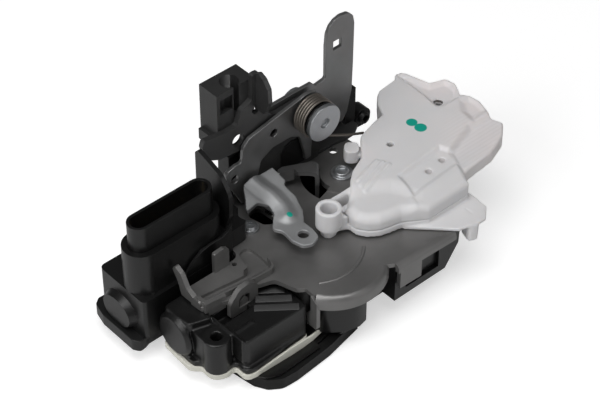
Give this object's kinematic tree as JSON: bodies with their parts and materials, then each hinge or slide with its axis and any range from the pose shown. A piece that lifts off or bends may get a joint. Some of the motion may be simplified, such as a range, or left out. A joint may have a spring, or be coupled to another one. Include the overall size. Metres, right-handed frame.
{
  "type": "door latch actuator",
  "caption": "Vehicle door latch with fork and pawl, release levers, cable bracket and geared electric locking actuators on a sealed face plate.",
  "frame": {"origin": "middle of the outer side of the steel face plate, where it rests on the door's inner panel edge, 3 mm right of the striker slot's middle line", "axes": "+X along the latch towards the pale actuator case, +Y the way the striker enters, towards the lever bracket, +Z away from the face plate, up in the picture"},
  "size_m": [0.1512, 0.0744, 0.0802],
  "materials": {
    "dark_plate": "satin",
    "seal_rubber": "matt",
    "black_plastic": "matt",
    "gasket_foam": "matt",
    "treated_steel": "satin",
    "bright_zinc": "satin",
    "steel_pins": "satin",
    "catch_steel": "satin",
    "spring_steel": "satin",
    "pressed_steel": "satin",
    "cover_plastic": "matt",
    "contacts": "bright",
    "motor_can": "satin",
    "worm_plastic": "satin",
    "gear_plastic": "satin",
    "switch_plastic": "satin",
    "circuit_board": "satin",
    "bracket_steel": "satin",
    "arm_steel": "bright",
    "white_plastic": "satin"
  },
  "bodies": {
    "housing": {"face_plate": "dark_plate", "seal_pad": "seal_rubber", "lower_case": "black_plastic", "base_gasket": "gasket_foam", "main_plate": "treated_steel", "plate_screw": "bright_zinc", "fork_pivot": "steel_pins", "fork_spring": "spring_steel", "pawl_pivot": "bright_zinc", "pawl_spring": "spring_steel", "bump_stop": "seal_rubber", "rear_housing": "black_plastic", "rear_cover": "cover_plastic", "connector_shroud": "black_plastic", "connector_pins": "contacts", "lock_motor": "motor_can", "front_housing": "black_plastic", "deadlock_motor": "motor_can", "wheel_axles": "steel_pins", "position_switches": "switch_plastic", "circuit_carrier": "circuit_board", "cable_bracket": "bracket_steel", "cable_clip": "bracket_steel", "rear_tower": "black_plastic", "lever_guide": "cover_plastic", "pivot_rivet": "bright_zinc", "lever_spring": "spring_steel", "release_pivot": "steel_pins", "actuator_lid": "white_plastic", "actuator_base": "white_plastic", "actuator_motor": "motor_can", "case_screws": "bright_zinc"},
    "fork": {"fork": "catch_steel"},
    "pawl": {"pawl": "catch_steel", "pawl_finger": "pressed_steel"},
    "release_arm": {"release_arm": "arm_steel"},
    "arch_lever": {"arch_lever": "pressed_steel"},
    "tall_lever": {"tall_lever": "pressed_steel"},
    "lock_wheel": {"lock_wheel": "gear_plastic"},
    "lock_worm": {"lock_worm": "worm_plastic"},
    "deadlock_wheel": {"deadlock_wheel": "gear_plastic"},
    "deadlock_worm": {"deadlock_worm": "worm_plastic"},
    "actuator_wheel": {"actuator_wheel": "gear_plastic", "output_lever": "white_plastic"},
    "actuator_worm": {"actuator_worm": "worm_plastic"}
  },
  "joints": [
    {"name": "fork_turn", "type": "hinge", "parent": "housing", "child": "fork", "pos_m": [-0.0135, -0.02, 0.013], "axis": [0, 0, 1], "range_deg": [0, 62], "stiffness_Nm_per_rad": 0.02, "deforming": ["fork_spring"]},
    {"name": "pawl_turn", "type": "hinge", "parent": "housing", "child": "pawl", "pos_m": [0.0196, 0, 0.013], "axis": [0, 0, 1], "range_deg": [-2, 8], "stiffness_Nm_per_rad": 0.02, "deforming": ["pawl_spring"]},
    {"name": "release_arm_turn", "type": "hinge", "parent": "housing", "child": "release_arm", "pos_m": [-0.0095, 0.0025, 0.031], "axis": [0, 0, 1], "range_deg": [-12, 0]},
    {"name": "arch_lever_turn", "type": "hinge", "parent": "housing", "child": "arch_lever", "pos_m": [0.0131, 0.01175, 0.052], "axis": [0, 1, 0], "range_deg": [0, 14], "stiffness_Nm_per_rad": 0.02, "deforming": ["lever_spring"]},
    {"name": "tall_lever_turn", "type": "hinge", "parent": "housing", "child": "tall_lever", "pos_m": [0.0131, 0.0162, 0.052], "axis": [0, 1, 0], "range_deg": [-12, 0]},
    {"name": "lock_wheel_turn", "type": "hinge", "parent": "housing", "child": "lock_wheel", "pos_m": [-0.043, 0.0119, 0.017], "axis": [0, 0, 1], "range_deg": [-25, 25]},
    {"name": "lock_worm_turn", "type": "hinge", "parent": "housing", "child": "lock_worm", "pos_m": [-0.043, 0.00402, 0.017], "axis": [1, 0, 0], "range_deg": [-300, 300]},
    {"name": "deadlock_wheel_turn", "type": "hinge", "parent": "housing", "child": "deadlock_wheel", "pos_m": [-0.044, -0.02067, 0.0148], "axis": [0, 0, 1], "range_deg": [-25, 25]},
    {"name": "deadlock_worm_turn", "type": "hinge", "parent": "housing", "child": "deadlock_worm", "pos_m": [-0.044, -0.0128, 0.0148], "axis": [1, 0, 0], "range_deg": [-300, 300]},
    {"name": "actuator_wheel_turn", "type": "hinge", "parent": "housing", "child": "actuator_wheel", "pos_m": [0.042, -0.016, 0.03], "axis": [0, 0, 1], "range_deg": [0, 12]},
    {"name": "actuator_worm_turn", "type": "hinge", "parent": "housing", "child": "actuator_worm", "pos_m": [0.042, -0.00335, 0.03], "axis": [1, 0, 0], "range_deg": [0, 288]}
  ],
  "couplings": [
    {"joint": "lock_worm_turn", "follows": "lock_wheel_turn", "ratio": -12},
    {"joint": "deadlock_worm_turn", "follows": "deadlock_wheel_turn", "ratio": 12},
    {"joint": "actuator_worm_turn", "follows": "actuator_wheel_turn", "ratio": 24}
  ]
}
